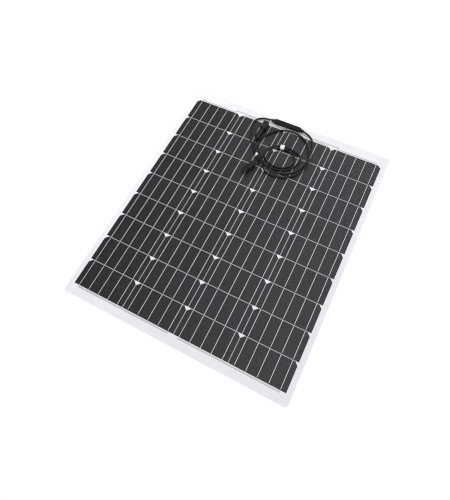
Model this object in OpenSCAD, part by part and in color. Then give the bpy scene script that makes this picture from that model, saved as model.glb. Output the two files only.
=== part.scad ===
// Flexible solar sheet: a thin laminate of half-cut cells in nine rows, a slim
// junction box on the front of one short edge, and two coiled leads with
// plug-in connectors. Origin at the middle of the underside, +X along the cell
// rows, +Y towards the junction box, +Z out of the front face. Millimetres.

/* [Cells] */
// Width of a half-cut cell, along the row
cell_w = 156.75; // [150:0.25:160]
// Height of a half-cut cell, across the row
cell_h = 78.375; // [75:0.125:80]
// Diameter of the round wafer the cells were cut from, which crops two corners
wafer_d = 210; // [205:1:215]
// White gap between neighbouring cells
cell_gap = 2; // [1.6:0.1:3]

/* [Sheet] */
// Margin between the cells and the edge with the junction box
margin_top = 35; // [32:1:45]
// Margin between the cells and the opposite edge
margin_bottom = 30; // [15:1:45]
// Margin at the two long edges
margin_side = 15; // [10:1:30]
// Radius of the four sheet corners
corner_r = 9; // [3:1:14]
// Thickness of the fibre-reinforced back sheet
back_t = 1.2; // [0.8:0.1:2]
// Thickness of the encapsulant that holds cells and rear ribbons
core_t = 0.7; // [0.6:0.05:1]
// Thickness of the front film with its bonding layer
film_t = 0.6; // [0.5:0.05:1]
// Free width of the bending line between two rows
flex_gap = 0.2; // [0.15:0.05:0.3]

/* [Ribbons] */
// Width of a cell ribbon
ribbon_w = 1.1; // [0.8:0.1:1.6]
// Width of a bus ribbon in the margins
bus_w = 4; // [3:0.5:4.5]

/* [Junction box] */
// Length of the box body
box_l = 90; // [84:1:100]
// Depth of the box body, across its length
box_d = 13.5; // [12.5:0.5:16]
// Height of the box body without its lid
box_h = 8; // [8:0.25:9]
// Thickness of the lid plate
lid_t = 1.4; // [1:0.1:2]
// Distance between the box's long axis and the top edge of the cells
box_offset = 19.4; // [19:0.1:21]

/* [Leads] */
// Outer diameter of a lead
cable_d = 5; // [4.8:0.1:5.5]
// Diameter of the copper conductor
conductor_d = 2.6; // [2:0.1:2.8]

/* [Connectors] */
// Radius of the contact pin and of the sleeve it goes into
contact_r = 2; // [1.8:0.05:2.1]
// Radius of the gland nuts
nut_r = 8.5; // [8.3:0.1:9]

/* [Hidden] */
cols = 4;
rows = 9;
cell_t = 0.2;
ribbon_t = 0.2;
lap = 0.01;

sheet_w = cols * cell_w + (cols - 1) * cell_gap + 2 * margin_side;
sheet_h = rows * cell_h + (rows - 1) * cell_gap + margin_top + margin_bottom;
z_core = back_t;
z_face = back_t + core_t;
z_top = z_face + film_t;

// Left edge of a column of cells, and lower edge of a row of cells
function col_x(c) = -sheet_w / 2 + margin_side + (c - 1) * (cell_w + cell_gap);
function row_y(r) = -sheet_h / 2 + margin_bottom + (r - 1) * (cell_h + cell_gap);
// Lower and upper edge of the strip of sheet that carries a row
function strip_lo(r) = r == 1 ? -sheet_h / 2 : row_y(r) - cell_gap / 2 + flex_gap / 2;
function strip_hi(r) = r == rows ? sheet_h / 2 : row_y(r) + cell_h + cell_gap / 2 - flex_gap / 2;
// Middle of a cell ribbon, counted from 1 to 5 across a cell
function ribbon_x(c, i) = col_x(c) + cell_w * (i - 0.5) / 5;

cells_top = row_y(rows) + cell_h;
riser_x = 27;
axis_y = cells_top + box_offset;
axis_z = z_top + 4.7;

$fn = 48;

// ---------------------------------------------------------------- laminate

// Outline of the whole sheet with its four round corners
module sheet_outline() {
    square([sheet_w - 2 * corner_r, sheet_h], center = true);
    square([sheet_w, sheet_h - 2 * corner_r], center = true);
    for (x = [-1, 1], y = [-1, 1])
        translate([x * (sheet_w / 2 - corner_r), y * (sheet_h / 2 - corner_r)])
            circle(r = corner_r);
}

// One layer of one strip, between two heights
module layer(r, z0, z1) {
    lo = strip_lo(r);
    hi = strip_hi(r);
    if (r == 1 || r == rows)
        intersection() {
            translate([0, 0, z0]) linear_extrude(z1 - z0) sheet_outline();
            translate([-sheet_w, lo, z0 - 1]) cube([2 * sheet_w, hi - lo, z1 - z0 + 2]);
        }
    else
        translate([-sheet_w / 2, lo, z0]) cube([sheet_w, hi - lo, z1 - z0]);
}

// Half-cut cell: the far edge keeps the two corners cropped by the round wafer
module half_cell() {
    linear_extrude(cell_t) intersection() {
        translate([-cell_w / 2, 0]) square([cell_w, cell_h]);
        circle(d = wafer_d);
    }
}

module cell_row(r) {
    for (c = [1 : cols])
        translate([col_x(c) + cell_w / 2, row_y(r), z_face - cell_t]) half_cell();
}

module strap(x, y0, y1, z, w = ribbon_w) {
    translate([x - w / 2, y0, z]) cube([w, y1 - y0, ribbon_t]);
}

// Rear ribbons and bus ribbons lie in the encapsulant, front ribbons in the film.
// Odd columns run their front ribbons down the string, even columns run them up.
module rear_ribbons(r) {
    z = z_face - cell_t - ribbon_t;
    for (c = [1 : cols], i = [1 : 5])
        if (c % 2 == 1)
            strap(ribbon_x(c, i), row_y(r) + 4,
                  r == rows ? cells_top + 2 + bus_w : strip_hi(r), z);
        else
            strap(ribbon_x(c, i), r == 1 ? row_y(1) - 2 - bus_w : strip_lo(r),
                  row_y(r) + cell_h - 4, z);
}

module front_ribbons(r) {
    for (c = [1 : cols], i = [1 : 5])
        if (c % 2 == 1) {
            strap(ribbon_x(c, i), r == 1 ? row_y(1) - 2 - bus_w : strip_lo(r),
                  row_y(r) + cell_h - 2, z_face);
            if (r > 1) jog(ribbon_x(c, i), strip_lo(r));
        } else {
            strap(ribbon_x(c, i), row_y(r) + 2.5,
                  r == rows ? cells_top + 2 + bus_w : strip_hi(r), z_face);
            if (r < rows) jog(ribbon_x(c, i), strip_hi(r) - 0.3);
        }
}

// Short upright where a front ribbon dives to the back of the next cell
module jog(x, y) {
    translate([x - ribbon_w / 2, y, z_face - cell_t - ribbon_t])
        cube([ribbon_w, 0.3, cell_t + 2 * ribbon_t]);
}

module bus(x0, x1, y) {
    translate([x0, y, z_face - cell_t]) cube([x1 - x0, bus_w, cell_t]);
}

// Tab that runs under the box and turns up through the film
module riser(x, y0) {
    translate([x - 2.5, y0, z_face - cell_t]) cube([5, axis_y + 0.2 - y0, cell_t]);
    translate([x - 2.5, axis_y - 0.2, z_face - cell_t])
        cube([5, 0.4, z_top + 3.2 - z_face + cell_t]);
}

module buses(r) {
    edge = ribbon_w / 2 + 1;
    if (r == 1)
        for (c = [1, 3])
            bus(ribbon_x(c, 1) - edge, ribbon_x(c + 1, 5) + edge, row_y(1) - 2 - bus_w);
    if (r == rows) {
        y1 = cells_top + 2;
        y2 = y1 + bus_w + 2;
        bus(ribbon_x(2, 1) - edge, ribbon_x(3, 5) + edge, y1);
        riser(0, y1);
        for (s = [-1, 1]) {
            near = s < 0 ? ribbon_x(1, 5) + edge : ribbon_x(4, 1) - edge;
            far = s < 0 ? ribbon_x(1, 1) - edge : ribbon_x(4, 5) + edge;
            bus(min(near, far), max(near, far), y1);
            translate([min(near, near - s * -bus_w), y1, z_face - cell_t])
                cube([bus_w, y2 + bus_w - y1, cell_t]);
            bus(min(near, s * riser_x), max(near, s * riser_x), y2);
            riser(s * riser_x, y2);
        }
    }
}

module rear_metal(r) {
    rear_ribbons(r);
    buses(r);
}

module front_film(r) {
    color([0.93, 0.94, 0.97, 0.35]) difference() {
        layer(r, z_face, z_top);
        front_ribbons(r);
        if (r == rows)
            for (x = [-riser_x, 0, riser_x])
                translate([x - 2.5, axis_y - 0.2, z_face - 1]) cube([5, 0.4, film_t + 2]);
    }
}

module cells(r) {
    color([0.25, 0.25, 0.27]) cell_row(r);
}

module ribbons(r) {
    color([0.78, 0.78, 0.79]) union() {
        rear_metal(r);
        front_ribbons(r);
    }
}

module encapsulant(r) {
    color([0.93, 0.93, 0.95]) difference() {
        layer(r, z_core, z_face);
        cell_row(r);
        rear_metal(r);
        front_ribbons(r);
    }
}

module back_sheet(r) {
    color([0.9, 0.9, 0.92]) layer(r, 0, z_core);
}

// ------------------------------------------------------------ junction box

wall = 1.3;
collar_l = 9;
inner_l = box_l - 2 * wall;
inner_d = box_d - 2 * wall;
box_top = z_top + box_h;

// Box outline with small chamfers on its four upright corners
module box_outline(l, d, c) {
    polygon([[-l / 2 + c, -d / 2], [l / 2 - c, -d / 2], [l / 2, -d / 2 + c],
             [l / 2, d / 2 - c], [l / 2 - c, d / 2], [-l / 2 + c, d / 2],
             [-l / 2, d / 2 - c], [-l / 2, -d / 2 + c]]);
}

module along_x(x0, x1, r) {
    translate([x0, 0, 0]) rotate([0, 90, 0]) cylinder(r = r, h = x1 - x0);
}

module junction_box_base() {
    color([0.11, 0.1, 0.1]) difference() {
        union() {
            translate([0, axis_y, z_top]) linear_extrude(box_h) box_outline(box_l, box_d, 2);
            // collars that guide the leads out of both ends
            translate([0, axis_y, axis_z]) for (s = [-1, 1]) {
                along_x(s > 0 ? box_l / 2 - 1 : -box_l / 2 - collar_l,
                        s > 0 ? box_l / 2 + collar_l : -box_l / 2 + 1, 4.2);
                for (i = [0 : 2])
                    along_x(s * (box_l / 2 + 2.2 + 2.6 * i) - 0.6,
                            s * (box_l / 2 + 2.2 + 2.6 * i) + 0.6, 4.6);
            }
            // feet under the collars
            for (s = [-1, 1])
                translate([s * (box_l / 2 + collar_l / 2 - 0.5) - collar_l / 2 + 0.5, axis_y - 3, z_top])
                    cube([collar_l - 1, 6, 2.4]);
        }
        translate([-inner_l / 2, axis_y - inner_d / 2, z_top + 1])
            cube([inner_l, inner_d, box_h]);
        // flat rim for the lid, cut across the roots of the collars
        translate([-box_l / 2 - 0.1, axis_y - box_d / 2 - 1, box_top])
            cube([box_l + 0.2, box_d + 2, 5]);
        translate([0, axis_y, axis_z]) {
            along_x(-box_l, box_l, cable_d / 2 + 0.1);
            for (s = [-1, 1])
                along_x(s > 0 ? box_l / 2 + 1.5 : -box_l / 2 - collar_l - 1,
                        s > 0 ? box_l / 2 + collar_l + 1 : -box_l / 2 - 1.5, cable_d / 2 + 0.35);
        }
        for (x = [-riser_x, 0, riser_x])
            translate([x - 2.7, axis_y - 0.4, z_top - 1]) cube([5.4, 0.8, 3]);
    }
}

module junction_box_lid() {
    skirt_l = inner_l - 0.2;
    skirt_d = inner_d - 0.2;
    color([0.11, 0.1, 0.1]) difference() {
        union() {
            translate([0, axis_y, box_top]) linear_extrude(lid_t) box_outline(box_l, box_d, 2);
            for (i = [-1 : 1])
                translate([-box_l / 2 + 3, axis_y + i * (box_d / 2 - 2.4) - 0.9, box_top])
                    cube([box_l - 6, 1.8, lid_t + 0.8]);
            translate([-skirt_l / 2, axis_y - skirt_d / 2, box_top - 1.1])
                cube([skirt_l, skirt_d, 1.1 + lap]);
        }
        translate([-skirt_l / 2 + 0.9, axis_y - skirt_d / 2 + 0.9, box_top - 2])
            cube([skirt_l - 1.8, skirt_d - 1.8, 2.2]);
        // finger notches at the middle of both long sides
        for (s = [-1, 1])
            translate([-5, axis_y + s * (box_d / 2 + 0.2) - 0.7, box_top - lap]) cube([10, 1.4, 0.5]);
    }
}

module junction_terminals() {
    zf = z_top + 1;
    color([0.72, 0.72, 0.7]) translate([0, axis_y, 0]) {
        for (s = [-1, 1]) difference() {
            union() {
                // plate with an upturned crimp at the end
                translate([s > 0 ? 16 : -38, -4, zf]) cube([22, 8, 0.8]);
                translate([0, 0, axis_z]) along_x(s > 0 ? 31 : -38, s > 0 ? 38 : -31, 2.1);
                translate([s > 0 ? 31 : -38, -2, zf]) cube([7, 4, axis_z - zf - 1.4]);
            }
            translate([0, 0, axis_z]) along_x(-box_l, box_l, conductor_d / 2 + 0.05);
            translate([s * riser_x - 2.7, -0.4, zf - 1]) cube([5.4, 0.8, 3]);
        }
        difference() {
            translate([-11, -4, zf]) cube([22, 8, 0.8]);
            translate([-2.7, -0.4, zf - 1]) cube([5.4, 0.8, 3]);
        }
    }
}

// Two flat diodes, each bridging the middle plate and one end plate
module bypass_diode() {
    z0 = z_top + 1.8;
    color([0.16, 0.16, 0.17]) for (s = [-1, 1]) translate([s * 13.5, axis_y, z0]) {
        translate([-3, -3.4, 0.7]) cube([6, 2.6, 2]);
        translate([-4.6, -3, 0.4]) cube([9.2, 1.8, 0.4]);
        for (t = [-1, 1])
            translate([t * 4.1 - 0.5, -3, 0]) cube([1, 1.8, 0.8]);
    }
}

// ------------------------------------------------------------------- leads

// Height of a strand's middle above the face, by level: 0 rests on the sheet,
// 1 crosses over one strand, 2 crosses over two.
z_rest = z_top + cable_d / 2 + 0.15;
level_h = cable_d + 0.2;
lv_box = (axis_z - z_rest) / level_h;
lv_con = (z_top + nut_r + 0.2 - z_rest) / level_h;

// Control points: x from the middle, distance below the box axis, level
left_lead = [
    [-44.5, 0, lv_box], [-54.5, 0, lv_box], [-64.5, 0, .02], [-77, 1.6, 0],
    [-89, 6.4, 0], [-98.6, 14, 0], [-104.6, 26, 0], [-104.9, 42.5, 0],
    [-100.5, 60.4, 0], [-93, 79, 0], [-84.5, 97, 0], [-73.5, 114, 0],
    [-59.8, 129, .12], [-45, 142.8, .35], [-30.4, 153.6, .2], [-14.5, 159.4, 0],
    [4.5, 165.4, 0], [27.5, 167.9, 0], [50.5, 162.4, 0], [71.5, 147.9, 0],
    [84.5, 127.4, 0], [88, 106.4, 0], [80.5, 91.4, 0], [62.5, 83.4, 0],
    [40.5, 79.9, .12], [18.5, 80.4, .18], [-1.5, 87.9, .12], [-17, 102.4, 0],
    [-24.5, 121.4, 0], [-18, 139.9, 0], [-2.5, 152.4, 0], [17.5, 158.4, 0],
    [39.5, 156.9, 0], [58.5, 147.4, 0], [70.5, 131.4, 0], [72.5, 113.4, 0],
    [62.5, 98.4, 0], [45.5, 89.9, .1], [25.5, 86.7, .18], [7.5, 92.4, .24],
    [-5.5, 103.4, .9], [-14, 117.4, 1.75], [-19.5, 131.4, 2.15],
    [-24, 144.4, 2.36], [-28.2, 156.9, 2.34], [-32.9, 167.1, 1.42],
    [-36.21, 176.2, lv_con], [-39.63, 185.6, lv_con]];
right_lead = [
    [44.5, 0, lv_box], [53, 0.1, lv_box], [63, 2.4, .3], [74, 6.2, .15],
    [84.5, 12.2, .04], [92.2, 20.8, 0], [98, 33.4, 0], [102.8, 50, 0],
    [106.5, 68.4, 0], [108, 90.4, 0], [106, 114.4, 0], [98, 137.4, 0],
    [83, 156.9, 0], [62.5, 170.9, 0], [37.5, 177.4, 0], [14.5, 176.9, .08],
    [-1.5, 170.4, .7], [-16, 157.6, 1.05], [-28, 144, 1.05], [-40, 130.8, .98],
    [-50, 117, .45], [-56, 101.4, 0], [-55, 83.4, 0], [-48.6, 64.9, 0],
    [-38.5, 48.4, 0], [-24.5, 32.9, 0], [-5.5, 21.9, 0], [15.5, 15.9, 0],
    [37.5, 15.9, 0], [58.5, 22.4, .1], [74.5, 33.4, .5], [87.5, 47.4, 1],
    [99, 65.4, 1.05], [107.5, 85.4, 1.02], [111.5, 107.4, .9], [109.5, 131.4, .4],
    [100, 154.4, 0], [83, 172.4, 0], [61.5, 185.4, 0], [36.5, 190.9, 0],
    [13.5, 189.4, .08], [-4, 179.9, .6], [-17, 166, 1.2], [-29.5, 154.6, 1.34],
    [-41.2, 145.6, 1.37], [-47.4, 137, 1.27], [-54, 126.5, .76], [-62.5, 114.8, .32],
    [-67.8, 106.4, .78], [-69.6, 99.7, 1.1], [-69.28, 93.1, lv_con],
    [-68.82, 84.6, lv_con], [-68.31, 75.12, lv_con]];

lead_floor = z_top + cable_d / 2 + 0.06;

function place(p) = [p[0], axis_y - p[1], z_rest + p[2] * level_h];
function mix(a, b, c, d, t) =
    0.5 * (2 * b + (c - a) * t + (2 * a - 5 * b + 4 * c - d) * t * t
           + (3 * b - a - 3 * c + d) * t * t * t);
function held(p) = [p[0], p[1], max(p[2], lead_floor)];
// Smooth path through the control points, n steps from each to the next
function lead_path(c, n) =
    let (m = len(c), p = [for (q = c) place(q)],
         e = concat([2 * p[0] - p[1]], p, [2 * p[m - 1] - p[m - 2]]))
    concat([for (i = [0 : m - 2], k = [0 : n - 1])
                held(mix(e[i], e[i + 1], e[i + 2], e[i + 3], k / n))],
           [p[m - 1]]);

function unit(v) = v / norm(v);
// Ring of points round a path point, square to the path
function ring(p, t, r, sides) =
    let (s = unit(cross(t, [0, 0, 1])), u = cross(s, t))
    [for (k = [0 : sides - 1])
        p + r * cos(360 * (k + 0.5) / sides) * s + r * sin(360 * (k + 0.5) / sides) * u];

module tube(path, r, sides) {
    m = len(path);
    pts = [for (i = [0 : m - 1])
        each ring(path[i], unit(path[min(i + 1, m - 1)] - path[max(i - 1, 0)]), r, sides)];
    walls = [for (i = [0 : m - 2], k = [0 : sides - 1])
        let (a = i * sides + k, b = i * sides + (k + 1) % sides)
        each [[a, b, a + sides], [b, b + sides, a + sides]]];
    polyhedron(pts, concat([[for (k = [sides - 1 : -1 : 0]) k]], walls,
        [[for (k = [0 : sides - 1]) (m - 1) * sides + k]]));
}

steps = 3;
path_left = lead_path(left_lead, steps);
path_right = lead_path(right_lead, steps);

module lead_jackets() {
    color([0.09, 0.09, 0.09]) {
        tube(path_left, cable_d / 2, 8);
        tube(path_right, cable_d / 2, 8);
    }
}

// Bared ends: short copper stubs on the axes of the box and of the connectors
module lead_conductors() {
    color([0.8, 0.52, 0.36]) {
        translate([0, axis_y, axis_z]) {
            along_x(-44.4, -32, conductor_d / 2);
            along_x(32, 44.4, conductor_d / 2);
        }
        at_plug() along_x(16.55, 30, conductor_d / 2);
        at_socket() along_x(15.03, 27, conductor_d / 2);
    }
}

// Tie band around two strands, side by side or one above the other, with its
// clasp on the side picked by side
module tie(p, q, dir, w, side, r_in) {
    mid = (p + q) / 2;
    flat = norm([q[0] - p[0], q[1] - p[1]]) > abs(q[2] - p[2]);
    half = flat ? norm([q[0] - p[0], q[1] - p[1]]) / 2 : abs(q[2] - p[2]) / 2;
    reach = (flat ? half : 0) + r_in;
    t = 0.55;
    translate([mid[0], mid[1], flat ? z_top + 0.1 + t + r_in : mid[2]])
        rotate([0, 0, atan2(dir[1], dir[0])]) rotate([90, 0, 90])
            translate([0, 0, -w / 2]) difference() {
                union() {
                    linear_extrude(w) rotate(flat ? 0 : 90) loop_outline(half, r_in + t);
                    translate([side > 0 ? reach : -reach - 2.6, -2.2, w / 2 - 2.4])
                        cube([2.6, 4.4, 4.8]);
                }
                translate([0, 0, -1]) linear_extrude(w + 2)
                    rotate(flat ? 0 : 90) loop_outline(half, r_in);
                translate([side * (reach + 1.6) - 0.35, -5, w / 2 - 1.6]) cube([0.7, 10, 3.2]);
            }
}

module loop_outline(half, r) {
    square([2 * half, 2 * r], center = true);
    for (s = [-1, 1]) translate([s * half, 0]) circle(r = r);
}

module cable_ties() {
    // inner ring: first and second lap of the left lead
    a = steps * 25;
    b = steps * 38 + 1;
    // bundle beside the connectors: the right lead's end on top of the left lead
    c = steps * 13 + 1;
    d = steps * 44;
    color([0.93, 0.93, 0.92]) {
        tie(path_left[a], path_left[b], path_left[a + 1] - path_left[a - 1], 13, 1, cable_d / 2 + 1.1);
        tie(path_left[c], path_right[d], path_left[c + 1] - path_left[c - 1], 8, -1, cable_d / 2 + 1);
    }
}

// -------------------------------------------------------------- connectors

// Both connectors are drawn along +X from the cable end, then laid in place
module at_plug() {
    translate([-69.2, axis_y - 91.6, z_top + nut_r + 0.2]) rotate([0, 0, 86.9]) children();
}
module at_socket() {
    translate([-34.5, axis_y - 171.5, z_top + nut_r + 0.2]) rotate([0, 0, -110]) children();
}

// Gland nut: dome at the cable end, eight grip ribs, cavity for the neck
module gland_nut(l) {
    difference() {
        union() {
            rotate([90, 0, 90]) rotate_extrude()
                polygon([[0, 0], [5.4, 0], [7.2, 2.2], [nut_r - 0.7, 5], [nut_r - 0.7, l - 1],
                         [nut_r - 1.2, l], [0, l]]);
            for (k = [0 : 7]) rotate([45 * k + 22.5, 0, 0])
                translate([5, nut_r - 2.3, -1.2]) cube([l - 6.5, 2, 2.4]);
        }
        along_x(-1, l + 1, cable_d / 2 + 0.45);
        along_x(4, l + 1, 6.1);
    }
}

neck_r = 6;

module plug_nut() {
    color([0.1, 0.1, 0.1]) at_plug() gland_nut(20);
}
module socket_nut() {
    color([0.1, 0.1, 0.1]) at_socket() gland_nut(18);
}

// Slot across a rounded box section
module block(x0, x1, w, h, c) {
    translate([x0, 0, 0]) rotate([90, 0, 90]) linear_extrude(x1 - x0)
        polygon([[-w / 2 + c, -h / 2], [w / 2 - c, -h / 2], [w / 2, -h / 2 + c],
                 [w / 2, h / 2 - c], [w / 2 - c, h / 2], [-w / 2 + c, h / 2],
                 [-w / 2, h / 2 - c], [-w / 2, -h / 2 + c]]);
}

module plug_housing() {
    color([0.1, 0.1, 0.1]) at_plug() difference() {
        union() {
            along_x(5, 21, neck_r);
            along_x(20.3, 24, 8);
            block(24, 34, 15, 14, 3);
            along_x(24, 46, 7);
            for (i = [0 : 3]) along_x(35 + 2.4 * i, 36.2 + 2.4 * i, 7.5);
            block(44, 72, 19, 14.5, 3.2);
        }
        // seal seat, contact bore, then the shell's mouth
        along_x(4, 15, 5);
        along_x(4, 44, 3.3);
        along_x(40, 52, 4.3);
        along_x(50, 80, 6.4);
        // channels for the two spring fingers, open to the outside near the mouth
        for (s = [-1, 1]) {
            translate([50, s > 0 ? 0 : -8.4, -2.6]) cube([30, 8.4, 5.2]);
            translate([54, s > 0 ? 6 : -16, -2.6]) cube([9, 10, 5.2]);
        }
    }
}

probe_r = 5.1;
finger_x = 26;
finger_y = 7.2;
finger_h = 4.8;

module socket_housing() {
    color([0.1, 0.1, 0.1]) at_socket() difference() {
        union() {
            along_x(5, 19, neck_r);
            along_x(18.3, 22, 8);
            block(22, 31, 18.6, 13, 3);
            along_x(30, 34, 5.7);
            along_x(33, 54, probe_r);
        }
        // seal seat and contact bore
        along_x(4, 14, 5);
        along_x(4, 60, 3.3);
        // groove of the sealing ring
        difference() {
            along_x(36.2, 38.8, 8);
            along_x(35, 40, 4.5);
        }
        // pockets for the roots of the spring fingers
        for (s = [-1, 1]) {
            translate([finger_x, s * finger_y, -2.5]) cylinder(r = 1.4, h = 5);
            translate([finger_x, s * finger_y - 1.3, -2.5]) cube([8, 2.6, 5]);
        }
    }
}

// Spring finger on the left (+1) or right (-1) of the probe
module finger(s) {
    at_socket() difference() {
        union() {
            translate([finger_x, s * finger_y, -finger_h / 2]) cylinder(r = 1.3, h = finger_h);
            translate([finger_x, s * finger_y - 0.8, -finger_h / 2]) cube([22, 1.6, finger_h]);
            // catch near the tip
            translate([0, 0, -finger_h / 2]) linear_extrude(finger_h)
                polygon([[40, s * (finger_y + 0.5)], [41.5, s * (finger_y + 2.1)],
                         [43, s * (finger_y + 2.1)], [47.5, s * (finger_y + 0.5)]]);
        }
        // chamfered tip
        translate([0, 0, -4]) linear_extrude(8)
            polygon([[45.5, s * (finger_y - 0.9)], [49, s * (finger_y - 0.9)],
                     [49, s * (finger_y + 0.3)]]);
    }
}

module latch_finger_left() {
    color([0.1, 0.1, 0.1]) finger(1);
}
module latch_finger_right() {
    color([0.1, 0.1, 0.1]) finger(-1);
}

module seal(l) {
    difference() {
        along_x(0, l, 4.98);
        along_x(-1, l + 1, cable_d / 2 + 0.1);
    }
}

module connector_seals() {
    color([0.14, 0.14, 0.14]) {
        at_plug() translate([5.4, 0, 0]) seal(9);
        at_socket() translate([5.4, 0, 0]) seal(8);
        // sealing ring round the probe
        at_socket() translate([37.5, 0, 0]) rotate([0, 90, 0])
            rotate_extrude() translate([probe_r + 0.03, 0]) circle(r = 0.62);
    }
}

module connector_contacts() {
    color([0.75, 0.75, 0.74]) {
        // pin with its crimp barrel and two collars that centre it in the bore
        at_plug() difference() {
            union() {
                along_x(20, 34, 2.3);
                along_x(30, 32, 3.28);
                along_x(34, 45, contact_r * 0.65);
                along_x(45, 58, contact_r);
                along_x(37, 39, 3.28);
                translate([58, 0, 0]) rotate([0, 90, 0])
                    cylinder(r1 = contact_r, r2 = contact_r * 0.55, h = 3);
            }
            along_x(10, 30.5, conductor_d / 2);
        }
        // sleeve
        at_socket() difference() {
            union() {
                along_x(18, 32, 2.3);
                along_x(30, 52.5, 3.05);
                along_x(33, 35, 3.28);
                along_x(50, 51.5, 3.28);
            }
            along_x(10, 27.5, conductor_d / 2);
            along_x(34, 60, contact_r);
        }
    }
}

// -------------------------------------------------------------------- draw

for (r = [1 : rows]) {
    front_film(r);
    cells(r);
    ribbons(r);
    encapsulant(r);
    back_sheet(r);
}
junction_box_base();
junction_box_lid();
junction_terminals();
bypass_diode();
lead_jackets();
lead_conductors();
cable_ties();
plug_housing();
socket_housing();
latch_finger_left();
latch_finger_right();
plug_nut();
socket_nut();
connector_seals();
connector_contacts();
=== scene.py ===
import math
import bpy
import bmesh
import numpy as np
from mathutils import Matrix, Vector


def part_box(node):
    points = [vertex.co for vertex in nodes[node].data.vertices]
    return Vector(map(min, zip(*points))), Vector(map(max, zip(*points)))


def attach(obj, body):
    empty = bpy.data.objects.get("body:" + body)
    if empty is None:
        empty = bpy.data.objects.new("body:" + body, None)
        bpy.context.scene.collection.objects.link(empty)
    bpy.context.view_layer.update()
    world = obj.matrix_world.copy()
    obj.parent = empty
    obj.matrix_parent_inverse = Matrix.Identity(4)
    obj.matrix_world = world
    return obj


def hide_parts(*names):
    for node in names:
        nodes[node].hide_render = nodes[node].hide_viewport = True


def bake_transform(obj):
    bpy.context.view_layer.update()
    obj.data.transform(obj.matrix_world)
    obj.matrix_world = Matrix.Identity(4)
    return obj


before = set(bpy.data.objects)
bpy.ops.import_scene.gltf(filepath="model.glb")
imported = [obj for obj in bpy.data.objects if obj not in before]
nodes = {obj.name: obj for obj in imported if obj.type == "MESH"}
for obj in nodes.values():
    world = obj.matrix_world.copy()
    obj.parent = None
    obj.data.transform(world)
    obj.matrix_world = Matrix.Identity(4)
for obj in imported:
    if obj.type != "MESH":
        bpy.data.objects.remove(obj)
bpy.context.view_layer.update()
scene = bpy.context.scene
MM = 0.001


def box_mm(node):
    lo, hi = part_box(node)
    return np.array(lo) / MM, np.array(hi) / MM


# ------------------------------------------------------------ sizes from the frame
ROWS, COLS = 9, 4
back = [box_mm(f"back_sheet_{r}") for r in range(1, ROWS + 1)]
cell = [box_mm(f"cells_{r}") for r in range(1, ROWS + 1)]
W2 = back[4][1][0]                                   # half the width of the sheet
H2 = back[8][1][1]                                   # half its length
Z_BACK = back[4][1][2]                               # top of the back sheet
Z_CELL = cell[4][1][2]                               # top of the cells
Z_TOP = box_mm("front_film_5")[1][2]                 # top of the front film
CORNER = 9.0
CELL_L, CELL_R = cell[4][0][0], cell[4][1][0]
PITCH_X = (CELL_R - CELL_L + 2.0) / COLS
PITCH_Y = cell[1][0][1] - cell[0][0][1]
CELL_W = PITCH_X - 2.0
ROW_LO = [c[0][1] for c in cell]
ROW_HI = [c[1][1] for c in cell]
MID = [(a + b) / 2 for a, b in zip(ROW_LO, ROW_HI)]
BEND = [(ROW_HI[r] + ROW_LO[r + 1]) / 2 for r in range(ROWS - 1)]
CELLS_LO, CELLS_HI = ROW_LO[0], ROW_HI[-1]
RIBBONS = [CELL_L + c * PITCH_X + CELL_W * (i + 0.5) / 5 for c in range(COLS) for i in range(5)]
BOX_LO, BOX_HI = box_mm("junction_box_base")
AXIS_Y = CELLS_HI + 19.4
AXIS_Z = Z_TOP + 4.7


# ------------------------------------------------------------ node graphs
class Graph:
    """Small helper for node materials."""

    def __init__(self, name):
        self.material = bpy.data.materials.new(name)
        self.material.use_nodes = True
        self.tree = self.material.node_tree
        self.tree.nodes.clear()
        self.out = self.tree.nodes.new("ShaderNodeOutputMaterial")
        self.where = self.add("TexCoord").outputs["Object"]

    def add(self, kind, props=None, **ins):
        node = self.tree.nodes.new("ShaderNode" + kind)
        for k, v in (props or {}).items():
            setattr(node, k, v)
        for k, v in ins.items():
            key = int(k[1:]) if k[0] == "_" and k[1:].isdigit() else k.replace("_", " ")
            socket = node.inputs[key]
            if isinstance(v, bpy.types.NodeSocket):
                self.tree.links.new(v, socket)
            else:
                socket.default_value = v
        return node

    def math(self, op, a, b=0.0, clamp=False):
        return self.add("Math", {"operation": op, "use_clamp": clamp}, _0=a, _1=b).outputs[0]

    def xyz(self):
        s = self.add("SeparateXYZ", _0=self.where)
        return s.outputs[0], s.outputs[1], s.outputs[2]

    def noise(self, scale, detail=2.0, rough=0.5, vector=None, stretch=None):
        v = vector or self.where
        if stretch:
            v = self.add("Mapping", Vector=v, Scale=stretch).outputs[0]
        return self.add("TexNoise", Vector=v, Scale=scale, Detail=detail, Roughness=rough).outputs[0]

    def span(self, value, a, b, c, d):
        return self.add("MapRange", _0=value, _1=a, _2=b, _3=c, _4=d).outputs[0]

    def mix(self, factor, a, b):
        m = self.add("Mix", {"data_type": "RGBA"})
        for key, v in (("Factor", factor), ("A", a), ("B", b)):
            socket = [s for s in m.inputs if s.name == key and s.type == ("VALUE" if key == "Factor" else "RGBA")][0]
            if isinstance(v, bpy.types.NodeSocket):
                self.tree.links.new(v, socket)
            else:
                socket.default_value = v
        return [s for s in m.outputs if s.type == "RGBA"][0]

    def bump(self, height, strength, distance, normal=None):
        ins = dict(Height=height, Strength=strength, Distance=distance)
        if normal is not None:
            ins["Normal"] = normal
        return self.add("Bump", **ins).outputs[0]

    def finish(self, shader):
        self.tree.links.new(shader, self.out.inputs[0])
        return self.material


def rgb(r, g, b):
    return (r, g, b, 1.0)


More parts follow.
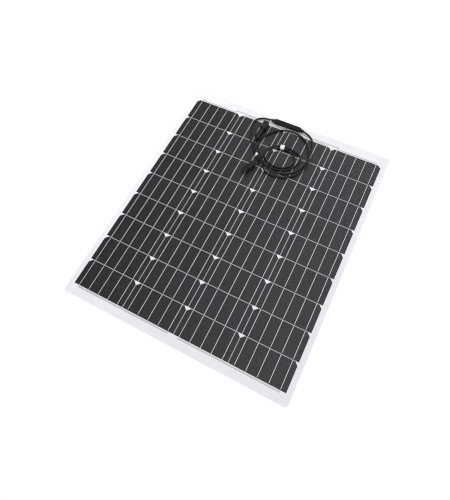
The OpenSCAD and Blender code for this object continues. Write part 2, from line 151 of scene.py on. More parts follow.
def moulded(name, base, worn, rough, grain=2600.0, strength=0.12, ior=1.45, specular=0.5):
    """Moulded plastic: fine spark-eroded grain, soft dust and slightly lighter worn patches."""
    g = Graph(name)
    fine = g.noise(grain, 2.0, 0.6)
    broad = g.noise(55.0, 3.0, 0.6)
    colour = g.mix(g.span(broad, 0.42, 0.72, 0.0, 1.0), base, worn)
    bump = g.bump(fine, strength, 0.0002)
    p = g.add("BsdfPrincipled", Base_Color=colour, Roughness=g.span(broad, 0.3, 0.7, rough - 0.06, rough + 0.08),
              IOR=ior, Normal=bump)
    p.inputs["Specular IOR Level"].default_value = specular
    return g.finish(p.outputs[0])


def make_silicon():
    """Monocrystalline cell: dark grey-violet, a slightly different tone per cell, hair-fine print fingers."""
    g = Graph("silicon")
    x, y, z = g.xyz()
    cx = g.math("FLOOR", g.math("DIVIDE", g.math("SUBTRACT", x, (CELL_L - 1) * MM), PITCH_X * MM))
    cy = g.math("FLOOR", g.math("DIVIDE", g.math("SUBTRACT", y, (CELLS_LO - 1) * MM), (ROW_LO[1] - ROW_LO[0]) * MM))
    key = g.add("CombineXYZ", _0=cx, _1=cy, _2=0.0).outputs[0]
    tone = g.add("TexWhiteNoise", {"noise_dimensions": "3D"}, Vector=key).outputs["Value"]
    cloud = g.noise(6.0, 3.0, 0.55)
    body = g.mix(g.span(cloud, 0.38, 0.62, 0.0, 1.0), rgb(0.0135, 0.0131, 0.0160), rgb(0.0140, 0.0138, 0.0132))
    body = g.mix(g.math("MULTIPLY", tone, 0.45), body, rgb(0.0190, 0.0183, 0.0228))
    # fingers run across the ribbons, 1.55 mm apart
    phase = g.math("FRACT", g.math("DIVIDE", y, 0.00155))
    line = g.span(g.math("ABSOLUTE", g.math("SUBTRACT", phase, 0.5)), 0.022, 0.034, 1.0, 0.0)
    colour = g.mix(g.math("MULTIPLY", line, 0.11, True), body, rgb(0.30, 0.30, 0.32))
    grain = g.noise(900.0, 2.0, 0.6)
    p = g.add("BsdfPrincipled", Base_Color=colour, Roughness=g.span(grain, 0.3, 0.7, 0.34, 0.46), IOR=1.5,
              Normal=g.bump(grain, 0.05, 0.0001))
    p.inputs["Specular IOR Level"].default_value = 0.56
    return g.finish(p.outputs[0])


def make_white(name, light, dark, weave, shade_slots=False):
    """White laminate: faint lavender clouding, with the cloth of the glass-fibre sheet pressed through, and optionally
    painted shade in the slots between cells.
    """
    g = Graph(name)
    x, y, z = g.xyz()
    cloud = g.noise(9.0, 4.0, 0.6)
    fine = g.noise(160.0, 2.0, 0.5)
    colour = g.mix(g.span(cloud, 0.35, 0.68, 0.0, 1.0), light, dark)
    colour = g.mix(g.span(fine, 0.35, 0.75, 0.0, 0.18), colour, rgb(dark[0] * 0.9, dark[1] * 0.9, dark[2] * 0.93))
    if shade_slots:
        # painted shade: the narrow slots between cells are darkened to grey, unlike the open border and the cropped
        # corners
        off_x = g.math("ABSOLUTE", g.math("SUBTRACT", g.math("FRACT", g.math("DIVIDE", g.math("SUBTRACT", x, (CELL_L - 1 - PITCH_X / 2) * MM), PITCH_X * MM)), 0.5))
        off_y = g.math("SUBTRACT", g.math("FRACT", g.math("DIVIDE", g.math("SUBTRACT", y, (BEND[0] - PITCH_Y / 2) * MM), PITCH_Y * MM)), 0.5)
        slot_x = g.span(off_x, 1.0 / PITCH_X, 1.25 / PITCH_X, 1.0, 0.0)
        slot_y = g.span(g.math("ABSOLUTE", off_y), 1.0 / PITCH_Y, 1.25 / PITCH_Y, 1.0, 0.0)
        open_corner = g.math("MULTIPLY", g.span(off_x, 7.5 / PITCH_X, 8.5 / PITCH_X, 1.0, 0.0),
                             g.math("MULTIPLY", g.span(off_y, -9.5 / PITCH_Y, -8.0 / PITCH_Y, 0.0, 1.0),
                                    g.span(off_y, 0.8 / PITCH_Y, 1.2 / PITCH_Y, 1.0, 0.0)))
        inside = g.math("MULTIPLY", g.span(x, CELL_L * MM, (CELL_L + 1) * MM, 0.0, 1.0), g.span(x, (CELL_R - 1) * MM, CELL_R * MM, 1.0, 0.0))
        inside = g.math("MULTIPLY", inside, g.math("MULTIPLY", g.span(y, CELLS_LO * MM, (CELLS_LO + 1) * MM, 0.0, 1.0), g.span(y, (CELLS_HI - 1) * MM, CELLS_HI * MM, 1.0, 0.0)))
        slot = g.math("MULTIPLY", g.math("MULTIPLY", g.math("MAXIMUM", slot_x, slot_y), inside), g.math("SUBTRACT", 1.0, open_corner), True)
        # the grey mixed in here is the painted shade in the slots
        colour = g.mix(g.math("MULTIPLY", slot, 0.92), colour, rgb(0.42, 0.42, 0.435))
    # plain weave, one thread every 1.2 mm
    k = 2 * math.pi / 0.0024
    warp = g.math("SINE", g.math("MULTIPLY", x, k))
    weft = g.math("SINE", g.math("MULTIPLY", y, k))
    cloth = g.math("MULTIPLY", warp, weft)
    bump = g.bump(cloth, weave, 0.00005, g.bump(g.noise(420.0, 3.0, 0.6), 0.12, 0.0002))
    p = g.add("BsdfPrincipled", Base_Color=colour, Roughness=g.span(fine, 0.3, 0.7, 0.42, 0.56), IOR=1.45, Normal=bump)
    p.inputs["Specular IOR Level"].default_value = 0.35
    return g.finish(p.outputs[0])


def make_film():
    """Embossed clear film: lets the cells show through, mirrors softly by angle, dimpled like fluoropolymer film."""
    g = Graph("clear_film")
    dimple = g.add("TexVoronoi", {"feature": "SMOOTH_F1"}, Vector=g.where, Scale=900.0).outputs["Distance"]
    wave = g.noise(26.0, 2.0, 0.5)
    soft = g.bump(wave, 0.10, 0.004)
    bump = g.bump(dimple, 0.035, 0.0002, soft)
    fres = g.add("Fresnel", IOR=1.42, Normal=bump).outputs[0]
    front = g.math("SUBTRACT", 1.0, g.add("NewGeometry").outputs["Backfacing"])
    rough = g.span(wave, 0.3, 0.7, 0.24, 0.34)
    glossy = g.add("BsdfAnisotropic", Color=rgb(0.98, 0.985, 1.0), Roughness=rough, Normal=bump).outputs[0]
    clear = g.add("BsdfTransparent", Color=rgb(0.985, 0.985, 0.99)).outputs[0]
    m = g.add("MixShader", _0=g.math("MULTIPLY", g.math("MULTIPLY", fres, 0.26), front), _1=clear, _2=glossy)
    return g.finish(m.outputs[0])


def make_clear():
    g = Graph("clear_join")
    return g.finish(g.add("BsdfTransparent", Color=rgb(1, 1, 1)).outputs[0])


def make_metal(name, base, dull, rough, brush=(1.0, 0.04, 1.0), metallic=1.0, buses=None):
    """Drawn, tinned or bare metal: lengthwise brushing, faint tarnish."""
    g = Graph(name)
    streak = g.noise(2600.0, 3.0, 0.6, stretch=brush)
    cloud = g.noise(140.0, 3.0, 0.6)
    colour = g.mix(g.span(cloud, 0.4, 0.7, 0.0, 0.7), base, dull)
    if buses:
        y = g.xyz()[1]
        margin = g.math("ADD", g.span(y, (CELLS_LO - 1.5) * MM, (CELLS_LO - 1) * MM, 1.0, 0.0),
                        g.span(y, (CELLS_HI + 1) * MM, (CELLS_HI + 1.5) * MM, 0.0, 1.0), True)
        colour = g.mix(margin, colour, buses)
    p = g.add("BsdfPrincipled", Base_Color=colour, Metallic=metallic,
              Roughness=g.span(streak, 0.3, 0.7, rough - 0.06, rough + 0.08), Normal=g.bump(streak, 0.12, 0.0001))
    return g.finish(p.outputs[0])


def make_jacket():
    """Cable jacket: smooth dark elastomer with dust in a faint lengthwise drawing."""
    g = Graph("black_jacket")
    dust = g.noise(210.0, 3.0, 0.65)
    broad = g.noise(28.0, 2.0, 0.5)
    colour = g.mix(g.span(dust, 0.4, 0.8, 0.0, 0.8), rgb(0.0210, 0.0210, 0.0208), rgb(0.033, 0.033, 0.032))
    p = g.add("BsdfPrincipled", Base_Color=colour, Roughness=g.span(broad, 0.3, 0.7, 0.38, 0.5), IOR=1.45,
              Normal=g.bump(g.noise(1500.0, 2.0, 0.6), 0.08, 0.0002))
    p.inputs["Specular IOR Level"].default_value = 0.26
    return g.finish(p.outputs[0])


M = {
    "film": make_film(),
    "join": make_clear(),
    "silicon": make_silicon(),
    # the white sheet gets painted shade in the slots between cells
    "white": make_white("white_sheet", rgb(0.88, 0.885, 0.90), rgb(0.82, 0.825, 0.855), 0.10, shade_slots=True),
    "back": make_white("white_back", rgb(0.84, 0.84, 0.84), rgb(0.78, 0.78, 0.79), 0.45),
    "ribbon": make_metal("tinned_copper", rgb(0.91, 0.91, 0.915), rgb(0.86, 0.86, 0.87), 0.36, metallic=0.15, buses=rgb(0.60, 0.585, 0.55)),
    "tin": make_metal("tinned_contact", rgb(0.78, 0.78, 0.77), rgb(0.62, 0.62, 0.62), 0.27, brush=(1.0, 1.0, 1.0)),
    "copper": make_metal("bare_copper", rgb(0.82, 0.43, 0.26), rgb(0.56, 0.25, 0.15), 0.33, brush=(0.05, 1.0, 1.0)),
    "box": moulded("black_plastic", rgb(0.0130, 0.0110, 0.0106), rgb(0.022, 0.0190, 0.0184), 0.48, specular=0.30),
    "plug": moulded("connector_plastic", rgb(0.0150, 0.0150, 0.0148), rgb(0.027, 0.027, 0.0262), 0.44, grain=2200.0, specular=0.34),
    "jacket": make_jacket(),
    "tie": moulded("white_plastic", rgb(0.86, 0.86, 0.85), rgb(0.78, 0.78, 0.77), 0.40, grain=1500.0, strength=0.06),
    "epoxy": moulded("black_epoxy", rgb(0.018, 0.018, 0.020), rgb(0.035, 0.035, 0.036), 0.55, grain=3600.0, strength=0.2),
    "seal": moulded("seal_rubber", rgb(0.012, 0.012, 0.012), rgb(0.020, 0.020, 0.020), 0.62, grain=1200.0, strength=0.08, specular=0.25),
}


# ------------------------------------------------------------ mesh helpers
def shape(name, verts, faces, mats, index=None, sharp=35.0, fix=True):
    me = bpy.data.meshes.new(name)
    me.from_pydata([tuple(v) for v in np.asarray(verts, float) * MM], [], [tuple(int(i) for i in f) for f in faces])
    for m in mats:
        me.materials.append(m)
    if index is not None:
        me.polygons.foreach_set("material_index", list(index))
    if fix:
        bm = bmesh.new()
        bm.from_mesh(me)
        bmesh.ops.recalc_face_normals(bm, faces=bm.faces)
        bm.to_mesh(me)
        bm.free()
    me.polygons.foreach_set("use_smooth", [True] * len(me.polygons))
    me.set_sharp_from_angle(angle=math.radians(sharp))
    me.update()
    ob = bpy.data.objects.new(name, me)
    scene.collection.objects.link(ob)
    return ob


def soft_step(t):
    t = np.clip(t, 0, 1)
    return t * t * (3 - 2 * t)


def slab(name, xs, ys, top, bottom, e_top, e_bot, end, mats):
    """Closed plate on the grid xs by ys. Its own edges at the sheet's outline are rounded; end is -1 or 1 where ys
    reaches the sheet's end, with the two round corners. Material slots: top, underside, rim, cut."""
    nx, ny = len(xs), len(ys)
    X, Y = np.meshgrid(np.array(xs, float), np.array(ys, float))
    u = np.clip((np.abs(X) - (W2 - CORNER)) / CORNER, 0, 1)
    v = np.clip((np.abs(Y) - (H2 - CORNER)) / CORNER, 0, 1) if end else np.zeros_like(Y)
    ua, va = u * np.sqrt(1 - v * v / 2), v * np.sqrt(1 - u * u / 2)
    px = np.where(u > 0, np.sign(X) * (W2 - CORNER + CORNER * ua), X)
    py = np.where(v > 0, np.sign(Y) * (H2 - CORNER + CORNER * va), Y)
    if end == 1:
        chain = [(j, 0) for j in range(ny)] + [(ny - 1, i) for i in range(1, nx - 1)] + [(j, nx - 1) for j in range(ny - 1, -1, -1)]
        chains, cuts = [chain], [0]
    elif end == -1:
        chain = [(j, 0) for j in range(ny - 1, -1, -1)] + [(0, i) for i in range(1, nx - 1)] + [(j, nx - 1) for j in range(ny)]
        chains, cuts = [chain], [ny - 1]
    else:
        chains, cuts = [[(j, 0) for j in range(ny)], [(j, nx - 1) for j in range(ny)]], [0, ny - 1]
    tx, ty, bx, by = px.copy(), py.copy(), px.copy(), py.copy()
    normals = {}
    for c in chains:
        for j, i in c:
            if u[j, i] > 0 and v[j, i] > 0:
                n = np.array([np.sign(X[j, i]) * ua[j, i], np.sign(Y[j, i]) * va[j, i]])
                n = n / np.linalg.norm(n)
            elif i in (0, nx - 1) and u[j, i] >= 1:
                n = np.array([np.sign(X[j, i]), 0.0])
            else:
                n = np.array([0.0, np.sign(Y[j, i])])
            normals[j, i] = n
            tx[j, i] -= n[0] * e_top; ty[j, i] -= n[1] * e_top
            bx[j, i] -= n[0] * e_bot; by[j, i] -= n[1] * e_bot
    tz = top(px, py)
    verts = [(tx[j, i], ty[j, i], tz[j, i]) for j in range(ny) for i in range(nx)]
    verts += [(bx[j, i], by[j, i], bottom) for j in range(ny) for i in range(nx)]
    T = lambda j, i: j * nx + i
    B = lambda j, i: nx * ny + j * nx + i
    faces, index = [], []
    for j in range(ny - 1):
        for i in range(nx - 1):
            faces.append((T(j, i), T(j, i + 1), T(j + 1, i + 1), T(j + 1, i))); index.append(0)
            faces.append((B(j, i), B(j + 1, i), B(j + 1, i + 1), B(j, i + 1))); index.append(1)
    column = {}
    K = 3
    for c in chains:
        for j, i in c:
            n, x0, y0, zt = normals[j, i], px[j, i], py[j, i], tz[j, i]
            ids = [T(j, i)]
            prof = []
            if e_top > 0:
                prof += [(e_top * (math.sin(a) - 1), zt - e_top * (1 - math.cos(a))) for a in [k / K * math.pi / 2 for k in range(1, K + 1)]]
            if e_bot > 0:
                prof += [(e_bot * (math.cos(a) - 1), bottom + e_bot * (1 - math.sin(a))) for a in [k / K * math.pi / 2 for k in range(0, K)]]
            for o, zz in prof:
                ids.append(len(verts))
                verts.append((x0 + n[0] * o, y0 + n[1] * o, zz))
            ids.append(B(j, i))
            column[j, i] = ids
        for a, b in zip(c[:-1], c[1:]):
            ca, cb = column[a], column[b]
            for k in range(len(ca) - 1):
                faces.append((ca[k], cb[k], cb[k + 1], ca[k + 1])); index.append(2)
    for j in cuts:
        for i in range(nx - 1):
            faces.append((T(j, i), T(j, i + 1), B(j, i + 1), B(j, i))); index.append(3)
        for i in (0, nx - 1):
            if len(column[j, i]) > 2:
                faces.append(tuple(column[j, i])); index.append(3)
    return shape(name, verts, faces, mats, index)


def sweep(name, path, ring, mats, closed=False, up=(0, 0, 1), scale=None):
    """A closed ring profile (points across and up) carried along a path."""
    path = np.asarray(path, float)
    n, k = len(path), len(ring)
    up = np.array(up, float)
    verts = []
    for i in range(n):
        a = path[(i - 1) % n] if closed or i > 0 else path[i]
        b = path[(i + 1) % n] if closed or i < n - 1 else path[i]
        t = (b - a) / np.linalg.norm(b - a)
        s = np.cross(t, up); s /= np.linalg.norm(s)
        w = np.cross(s, t)
        f = 1.0 if scale is None else scale[i]
        for q in ring:
            verts.append(path[i] + s * q[0] * f + w * q[1] * f)
    faces = []
    for i in range(n if closed else n - 1):
        i2 = (i + 1) % n
        for j in range(k):
            j2 = (j + 1) % k
            faces.append((i * k + j, i * k + j2, i2 * k + j2, i2 * k + j))
    if not closed:
        faces.append(tuple(range(k - 1, -1, -1)))
        faces.append(tuple((n - 1) * k + j for j in range(k)))
    return shape(name, verts, faces, mats)


def circle(r, n):
    return [(r * math.cos(2 * math.pi * i / n), r * math.sin(2 * math.pi * i / n)) for i in range(n)]


def rounded_rect(w, h, r, n=3):
    pts = []
    for cx, cy, a0 in ((w / 2 - r, h / 2 - r, 0), (-w / 2 + r, h / 2 - r, 90), (-w / 2 + r, -h / 2 + r, 180), (w / 2 - r, -h / 2 + r, 270)):
        for i in range(n + 1):
            a = math.radians(a0 + 90 * i / n)
            pts.append((cx + r * math.cos(a), cy + r * math.sin(a)))
    return pts


# ------------------------------------------------------------ laminate
def bump_at(d, a, b):
    """1 within a of the middle, 0 beyond b."""
    return 1 - soft_step((np.abs(d) - a) / (b - a))


BUSES = []          # (x0, x1, y0, y1) of the bus ribbons in the two margins
for c in (0, 2):
    BUSES.append((RIBBONS[5 * c] - 1.55, RIBBONS[5 * c + 9] + 1.55, CELLS_LO - 6, CELLS_LO - 2))
y1 = CELLS_HI + 2
BUSES += [(RIBBONS[5] - 1.55, RIBBONS[14] + 1.55, y1, y1 + 4),
          (RIBBONS[0] - 1.55, RIBBONS[4] + 1.55, y1, y1 + 4), (RIBBONS[15] - 1.55, RIBBONS[19] + 1.55, y1, y1 + 4),
          (RIBBONS[4] + 1.55, -27, y1 + 6, y1 + 10), (27, RIBBONS[15] - 1.55, y1 + 6, y1 + 10)]


def film_top(x, y):
    inside = np.minimum.reduce([x - CELL_L, CELL_R - x, y - CELLS_LO, CELLS_HI - y])
    z = Z_TOP - 0.06 - 0.07 * (1 - soft_step((inside + 2.4) / 2.2))
    gap = np.zeros_like(x)
    for c in range(1, COLS):
        gap = np.maximum(gap, bump_at(x - (CELL_L + c * PITCH_X - 1), 0.5, 1.7))
    for b in BEND:
        gap = np.maximum(gap, bump_at(y - b, 0.5, 1.7))
    z = z - 0.08 * gap * (inside > -1)
    ridge = np.zeros_like(x)
    for r in RIBBONS:
        ridge = np.maximum(ridge, bump_at(x - r, 0.5, 1.2))
    along = soft_step((y - (CELLS_LO - 6.5)) / 1.0) * soft_step(((CELLS_HI + 6.5) - y) / 1.0)
    z = z + 0.055 * ridge * along
    for x0, x1, ya, yb in BUSES:
        z = z + 0.05 * bump_at(x - (x0 + x1) / 2, (x1 - x0) / 2 - 0.1, (x1 - x0) / 2 + 0.6) * bump_at(y - (ya + yb) / 2, (yb - ya) / 2 - 0.1, (yb - ya) / 2 + 0.6) * (1 - ridge * along)
    return z


CORE_TOP = Z_CELL - 0.10


def core_top(x, y):
    edge = np.minimum(W2 - np.abs(x), H2 - np.abs(y))
    return CORE_TOP + 0.128 * (1 - soft_step((edge - 3.0) / 3.0))


def unique(values, tol=0.12):
    out = []
    for v in sorted(values):
        if not out or v - out[-1] > tol:
            out.append(v)
    return out


zone = [CORNER * k / 6 for k in range(0, 7)]
film_xs = [s * (W2 - CORNER + q) for s in (-1, 1) for q in zone]
for c in range(COLS):
    a = CELL_L + c * PITCH_X
    b = a + CELL_W
    film_xs += [a - 1, a - 0.45, a + 0.1, a + 0.7, b - 0.7, b - 0.1, b + 0.45, b + 1]
film_xs += [CELL_L - 2.4, CELL_L - 0.2, CELL_R + 0.2, CELL_R + 2.4]
for r in RIBBONS:
    film_xs += [r - 1.2, r - 0.5, r + 0.5, r + 1.2]
film_xs = unique(film_xs)
core_xs = unique([s * (W2 - CORNER + q) for s in (-1, 1) for q in zone] + list(np.linspace(-310, 310, 11)))
film_xs[0], film_xs[-1] = -W2, W2
core_xs[0], core_xs[-1] = -W2, W2

near = [0, 0.45, 1.1, 1.7, 2.6, 4.0, 6.0, 8.0, 10.0]
films, cores = [], []
for k in range(ROWS - 1):
    yb = BEND[k]
    lo, hi = MID[k], MID[k + 1]
    ys = [lo, lo + 14, hi - 14, hi] + [yb + s * q for s in (-1, 1) for q in near]
    cys = [lo, hi] + [yb + s * q for s in (-1, 1) for q in near[::2]]
    end = 0
    if k == 0:
        end = -1
        y0 = CELLS_LO
        extra = [-(H2 - CORNER + q) for q in zone]
        ys = [v for v in ys] + extra + [y0 - 6.6, y0 - 6, y0 - 2, y0 - 1.4, y0 - 0.2, y0 + 0.3, y0 + 12, y0 + 26]
        cys = cys + extra + [y0, y0 + 20]
    if k == ROWS - 2:
        end = 1
        y0 = CELLS_HI
        extra = [H2 - CORNER + q for q in zone]
        ys = ys + extra + [y0 - 26, y0 - 12, y0 - 0.3, y0 + 0.2, y0 + 1.4, y0 + 2, y0 + 6, y0 + 6.6, y0 + 7.4, y0 + 8, y0 + 12, y0 + 12.6, y0 + 19]
        cys = cys + extra + [y0 - 20, y0, y0 + 15]
    ys, cys = unique(ys), unique(cys)
    if end:
        ys[0 if end < 0 else -1] = cys[0 if end < 0 else -1] = end * H2
    a, b = f"sheet_row_{k + 1}", f"sheet_row_{k + 2}"
    film = slab(f"film_{k + 1}", film_xs, ys, film_top, Z_CELL + 0.03, 0.30, 0.0, end, [M["film"], M["film"], M["film"], M["join"]])
    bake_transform(film)
    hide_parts(f"front_film_{k + 1}", *([f"front_film_{k + 2}"] if k == ROWS - 2 else []))
    core = slab(f"laminate_{k + 1}", core_xs, cys, core_top, 0.0, 0.0, 0.35, end, [M["white"], M["back"], M["white"], M["white"]])
    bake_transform(core)
    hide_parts(f"encapsulant_{k + 1}", f"back_sheet_{k + 1}",
                *([f"encapsulant_{k + 2}", f"back_sheet_{k + 2}"] if k == ROWS - 2 else []))
    films.append(film); cores.append(core)


# ------------------------------------------------------------ leads
CABLE_R = 2.5
Z_REST = Z_TOP + CABLE_R + 0.15
LEVEL = 2 * CABLE_R + 0.2
LV_BOX = (AXIS_Z - Z_REST) / LEVEL
LV_CON = (Z_TOP + 8.7 - Z_REST) / LEVEL
LEFT = [
    [-44.5, 0, LV_BOX], [-54.5, 0, LV_BOX], [-64.5, 0, .02], [-77, 1.6, 0],
    [-89, 6.4, 0], [-98.6, 14, 0], [-104.6, 26, 0], [-104.9, 42.5, 0],
    [-100.5, 60.4, 0], [-93, 79, 0], [-84.5, 97, 0], [-73.5, 114, 0],
    [-59.8, 129, .12], [-45, 142.8, .35], [-30.4, 153.6, .2], [-14.5, 159.4, 0],
    [4.5, 165.4, 0], [27.5, 167.9, 0], [50.5, 162.4, 0], [71.5, 147.9, 0],
    [84.5, 127.4, 0], [88, 106.4, 0], [80.5, 91.4, 0], [62.5, 83.4, 0],
    [40.5, 79.9, .12], [18.5, 80.4, .18], [-1.5, 87.9, .12], [-17, 102.4, 0],
    [-24.5, 121.4, 0], [-18, 139.9, 0], [-2.5, 152.4, 0], [17.5, 158.4, 0],
    [39.5, 156.9, 0], [58.5, 147.4, 0], [70.5, 131.4, 0], [72.5, 113.4, 0],
    [62.5, 98.4, 0], [45.5, 89.9, .1], [25.5, 86.7, .18], [7.5, 92.4, .24],
    [-5.5, 103.4, .9], [-14, 117.4, 1.75], [-19.5, 131.4, 2.15],
    [-24, 144.4, 2.36], [-28.2, 156.9, 2.34], [-32.9, 167.1, 1.42],
    [-36.21, 176.2, LV_CON], [-39.63, 185.6, LV_CON]]
RIGHT = [
    [44.5, 0, LV_BOX], [53, 0.1, LV_BOX], [63, 2.4, .3], [74, 6.2, .15],
    [84.5, 12.2, .04], [92.2, 20.8, 0], [98, 33.4, 0], [102.8, 50, 0],
    [106.5, 68.4, 0], [108, 90.4, 0], [106, 114.4, 0], [98, 137.4, 0],
    [83, 156.9, 0], [62.5, 170.9, 0], [37.5, 177.4, 0], [14.5, 176.9, .08],
    [-1.5, 170.4, .7], [-16, 157.6, 1.05], [-28, 144, 1.05], [-40, 130.8, .98],
    [-50, 117, .45], [-56, 101.4, 0], [-55, 83.4, 0], [-48.6, 64.9, 0],
    [-38.5, 48.4, 0], [-24.5, 32.9, 0], [-5.5, 21.9, 0], [15.5, 15.9, 0],
    [37.5, 15.9, 0], [58.5, 22.4, .1], [74.5, 33.4, .5], [87.5, 47.4, 1],
    [99, 65.4, 1.05], [107.5, 85.4, 1.02], [111.5, 107.4, .9], [109.5, 131.4, .4],
    [100, 154.4, 0], [83, 172.4, 0], [61.5, 185.4, 0], [36.5, 190.9, 0],
    [13.5, 189.4, .08], [-4, 179.9, .6], [-17, 166, 1.2], [-29.5, 154.6, 1.34],
    [-41.2, 145.6, 1.37], [-47.4, 137, 1.27], [-54, 126.5, .76], [-62.5, 114.8, .32],
    [-67.8, 106.4, .78], [-69.6, 99.7, 1.1], [-69.28, 93.1, LV_CON],
    [-68.82, 84.6, LV_CON], [-68.31, 75.12, LV_CON]]


def lead_path(points, n):
    p = np.array([[q[0], AXIS_Y - q[1], Z_REST + q[2] * LEVEL] for q in points], float)
    e = np.vstack([2 * p[0] - p[1], p, 2 * p[-1] - p[-2]])
    out = []
    for i in range(len(p) - 1):
        a, b, c, d = e[i:i + 4]
        for k in range(n):
            t = k / n
            q = 0.5 * (2 * b + (c - a) * t + (2 * a - 5 * b + 4 * c - d) * t * t + (3 * b - a - 3 * c + d) * t ** 3)
            q[2] = max(q[2], Z_TOP + CABLE_R + 0.06)
            out.append(q)
    out.append(p[-1])
    return np.array(out)


for name, points in (("lead_left", LEFT), ("lead_right", RIGHT)):
    lead = sweep(name, lead_path(points, 8), circle(CABLE_R, 20), [M["jacket"]])
    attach(lead, "leads")
    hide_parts("lead_jackets")


# ------------------------------------------------------------ ties
def tie(name, p, q, direction, width, side, r_in):
    """Band round two strands, side by side or one above the other, with its clasp on one side."""
    mid = (p + q) / 2
    flat = np.linalg.norm((q - p)[:2]) > abs(q[2] - p[2])
    half = (np.linalg.norm((q - p)[:2]) if flat else abs(q[2] - p[2])) / 2
    r = r_in + 0.275
    z = Z_TOP + 0.1 + 0.55 + r_in if flat else mid[2]
    along = np.array([direction[0], direction[1], 0.0]); along /= np.linalg.norm(along)
    across = np.array([-along[1], along[0], 0.0])
    centre = np.array([mid[0], mid[1], z])
    loop = []
    for i in range(17):
        a = -math.pi / 2 + math.pi * i / 16
        loop.append((half + r * math.cos(a), r * math.sin(a)))
    for i in range(17):
        a = math.pi / 2 + math.pi * i / 16
        loop.append((-half + r * math.cos(a), r * math.sin(a)))
    long_way, short_way = (across, np.array([0, 0, 1.0])) if flat else (np.array([0, 0, 1.0]), across)
    path = [centre + long_way * a + short_way * b for a, b in loop]
    band = sweep(name, path, [(b, a) for a, b in rounded_rect(width, 0.55, 0.22, 2)][::-1], [M["tie"]], closed=True, up=tuple(along))
    # clasp: a rounded block with smaller rounded blocks on it, one of them the cropped tail
    bm = bmesh.new()

    def block(cx, cy, cz, sx, sy, sz, bevel):
        made = bmesh.ops.create_cube(bm, size=1.0)
        for v in made["verts"]:
            v.co = Vector((v.co.x * sx + cx, v.co.y * sy + cy, v.co.z * sz + cz))
        edges = list({e for v in made["verts"] for e in v.link_edges})
        bmesh.ops.bevel(bm, geom=edges, offset=bevel, segments=2, affect="EDGES", profile=0.6)

    x0 = side * ((half if flat else 0) + r_in + 1.0)
    block(0, x0, 0.0, 4.8, 2.0, 4.4, 0.35)
    block(0, x0, 2.55, 3.0, 0.6, 1.6, 0.12)
    block(2.52, x0, 0.0, 0.3, 1.1, 2.6, 0.1)
    clasp_mesh = bpy.data.meshes.new(name + "_clasp")
    bm.to_mesh(clasp_mesh); bm.free()
    basis = Matrix(((along[0], across[0], 0, centre[0]), (along[1], across[1], 0, centre[1]), (0, 0, 1, centre[2]), (0, 0, 0, 1)))
    clasp_mesh.transform(basis)
    clasp_mesh.transform(Matrix.Scale(MM, 4))
    clasp_mesh.materials.append(M["tie"])
    clasp_mesh.polygons.foreach_set("use_smooth", [True] * len(clasp_mesh.polygons))
    clasp_mesh.set_sharp_from_angle(angle=math.radians(40))
    clasp = bpy.data.objects.new(name + "_clasp", clasp_mesh)
    scene.collection.objects.link(clasp)
    for o in (band, clasp):
        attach(o, "leads")
        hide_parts("cable_ties")


pl, pr = lead_path(LEFT, 3), lead_path(RIGHT, 3)
tie("tie_ring", pl[75], pl[115], pl[76] - pl[74], 13, 1, CABLE_R + 0.8)
tie("tie_bundle", pl[40], pr[132], pl[41] - pl[39], 8, -1, CABLE_R + 1)


# ------------------------------------------------------------ carried-over nodes
def dress(node, material, bevel=0.0, segments=2, angle=32):
    o = nodes[node]
    o.data.materials.clear()
    o.data.materials.append(material)
    o.data.polygons.foreach_set("material_index", [0] * len(o.data.polygons))
    if bevel:
        w = o.modifiers.new("weld", "WELD")
        w.merge_threshold = 0.000004
        b = o.modifiers.new("bevel", "BEVEL")
        b.width = bevel * MM
        b.segments = segments
        b.limit_method = "ANGLE"
        b.angle_limit = math.radians(angle)
        b.use_clamp_overlap = True
        b.harden_normals = False
        b.miter_outer = "MITER_ARC"
        o.data.polygons.foreach_set("use_smooth", [True] * len(o.data.polygons))
        n = o.modifiers.new("normals", "WEIGHTED_NORMAL")
        n.keep_sharp = False


for r in range(1, ROWS + 1):
    dress(f"cells_{r}", M["silicon"])
    dress(f"ribbons_{r}", M["ribbon"])
dress("junction_box_base", M["box"], 0.3)
dress("junction_box_lid", M["box"], 0.3)
dress("junction_terminals", M["tin"], 0.1)
dress("bypass_diode", M["epoxy"], 0.1)
dress("lead_conductors", M["copper"])
for n in ("plug_housing", "socket_housing", "plug_nut", "socket_nut"):
    dress(n, M["plug"], 0.28)
for n in ("latch_finger_left", "latch_finger_right"):
    dress(n, M["plug"], 0.15)
dress("connector_seals", M["seal"])
dress("connector_contacts", M["tin"])


# ------------------------------------------------------------ stage
def make_floor():
    """Contact shade only: a faint tint for the camera round whatever touches it, and no obstacle to light, so a bent
    sheet that dips under it is neither cut nor darkened."""
    g = Graph("floor")
    ao = g.add("AmbientOcclusion", {"samples": 6, "only_local": False}, Distance=0.05)
    shade = g.span(ao.outputs["AO"], 0.0, 1.0, 0.86, 1.0)
    tint = g.add("CombineColor", _0=shade, _1=shade, _2=g.math("ADD", g.math("MULTIPLY", shade, 0.97), 0.03)).outputs[0]
    seen = g.add("BsdfTransparent", Color=tint).outputs[0]
    clear = g.add("BsdfTransparent", Color=rgb(1, 1, 1)).outputs[0]
    cam_ray = g.add("LightPath").outputs["Is Camera Ray"]
    return g.finish(g.add("MixShader", _0=cam_ray, _1=clear, _2=seen).outputs[0])


fl = bpy.data.meshes.new("floor")
s = 2.2
fl.from_pydata([(-s, -s, -0.0004), (s, -s, -0.0004), (s, s, -0.0004), (-s, s, -0.0004)], [], [(0, 1, 2, 3)])
fl.materials.append(make_floor())
floor = bpy.data.objects.new("floor", fl)
scene.collection.objects.link(floor)

world = bpy.data.worlds.new("studio")
scene.world = world
world.use_nodes = True
wt = world.node_tree
wt.nodes.clear()
w_out = wt.nodes.new("ShaderNodeOutputWorld")
w_mix = wt.nodes.new("ShaderNodeMixShader")
w_path = wt.nodes.new("ShaderNodeLightPath")
w_light = wt.nodes.new("ShaderNodeBackground")
w_seen = wt.nodes.new("ShaderNodeBackground")
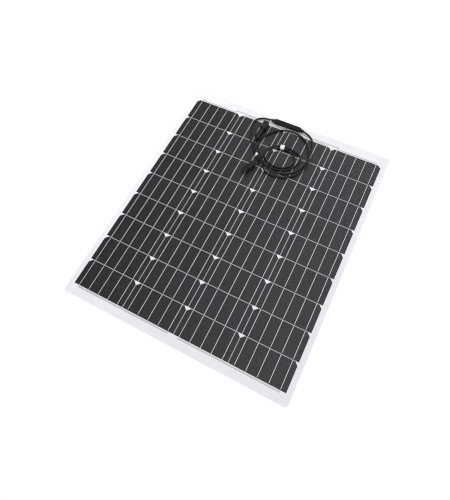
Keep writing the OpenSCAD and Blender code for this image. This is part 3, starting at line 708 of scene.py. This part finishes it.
# what the gloss mirrors: a softbox over one side, falling off to a dim room on the other
w_dir = wt.nodes.new("ShaderNodeTexCoord")
w_xyz = wt.nodes.new("ShaderNodeSeparateXYZ")
w_fall = wt.nodes.new("ShaderNodeMapRange")
w_fall.interpolation_type = "LINEAR"
for k, v in enumerate((-0.51, 0.05, 0.02, 1.10)):
    w_fall.inputs[k + 1].default_value = v
w_power = wt.nodes.new("ShaderNodeMix")
w_power.data_type = "FLOAT"
w_power.inputs[2].default_value = 0.72
wt.links.new(w_dir.outputs["Generated"], w_xyz.inputs[0])
wt.links.new(w_xyz.outputs[0], w_fall.inputs[0])
wt.links.new(w_path.outputs["Is Glossy Ray"], w_power.inputs[0])
wt.links.new(w_fall.outputs[0], w_power.inputs[3])
w_tint = wt.nodes.new("ShaderNodeMix")
w_tint.data_type = "RGBA"
w_tint.inputs[6].default_value = rgb(1.0, 0.985, 0.955)
w_tint.inputs[7].default_value = rgb(1.0, 0.975, 1.05)
w_hue = wt.nodes.new("ShaderNodeMix")
w_hue.data_type = "RGBA"
w_hue.inputs[6].default_value = rgb(0.97, 0.98, 1.0)
wt.links.new(w_fall.outputs[0], w_tint.inputs[0])
wt.links.new(w_tint.outputs[2], w_hue.inputs[7])
wt.links.new(w_path.outputs["Is Glossy Ray"], w_hue.inputs[0])
wt.links.new(w_hue.outputs[2], w_light.inputs[0])
wt.links.new(w_power.outputs[0], w_light.inputs[1])
w_seen.inputs[0].default_value = rgb(1, 1, 1)
w_seen.inputs[1].default_value = 1.02
wt.links.new(w_path.outputs["Is Camera Ray"], w_mix.inputs[0])
wt.links.new(w_light.outputs[0], w_mix.inputs[1])
wt.links.new(w_seen.outputs[0], w_mix.inputs[2])
wt.links.new(w_mix.outputs[0], w_out.inputs[0])


def area(name, where, aim, size, power, colour=(1, 1, 1)):
    light = bpy.data.lights.new(name, "AREA")
    light.shape = "SQUARE"
    light.size = size
    light.energy = power
    light.color = colour
    ob = bpy.data.objects.new(name, light)
    ob.location = where
    ob.rotation_mode = "QUATERNION"
    ob.rotation_quaternion = (Vector(aim) - Vector(where)).to_track_quat("-Z", "Y")
    scene.collection.objects.link(ob)
    return ob


key = area("key", (-2.0, 2.1, 1.95), (0.0, 0.0, 0.0), 1.6, 93.0, (1.0, 0.985, 0.96))
key.visible_glossy = False

# ------------------------------------------------------------ camera
cam_data = bpy.data.cameras.new("camera")
cam_data.sensor_fit = "HORIZONTAL"
cam_data.sensor_width = 36.0
cam_data.lens = 29.87
cam_data.clip_start, cam_data.clip_end = 0.02, 50.0
cam = bpy.data.objects.new("camera", cam_data)
right = Vector((0.89038, 0.45341, -0.04052))
down = Vector((0.40602, -0.83125, -0.37971))
ahead = Vector((-0.20585, 0.32163, -0.92422))
m = Matrix.Identity(4)
for i in range(3):
    m[i][0], m[i][1], m[i][2] = right[i], -down[i], -ahead[i]
m[0][3], m[1][3], m[2][3] = 0.2301, -0.4322, 0.9733
scene.collection.objects.link(cam)
cam.matrix_world = m
scene.camera = cam

scene.view_settings.view_transform = "Standard"
scene.view_settings.look = "None"
scene.view_settings.exposure = 0.0
scene.view_settings.gamma = 1.0
scene.cycles.max_bounces = 10
scene.cycles.filter_width = 1.2
scene.cycles.transparent_max_bounces = 24
scene.cycles.diffuse_bounces = 4
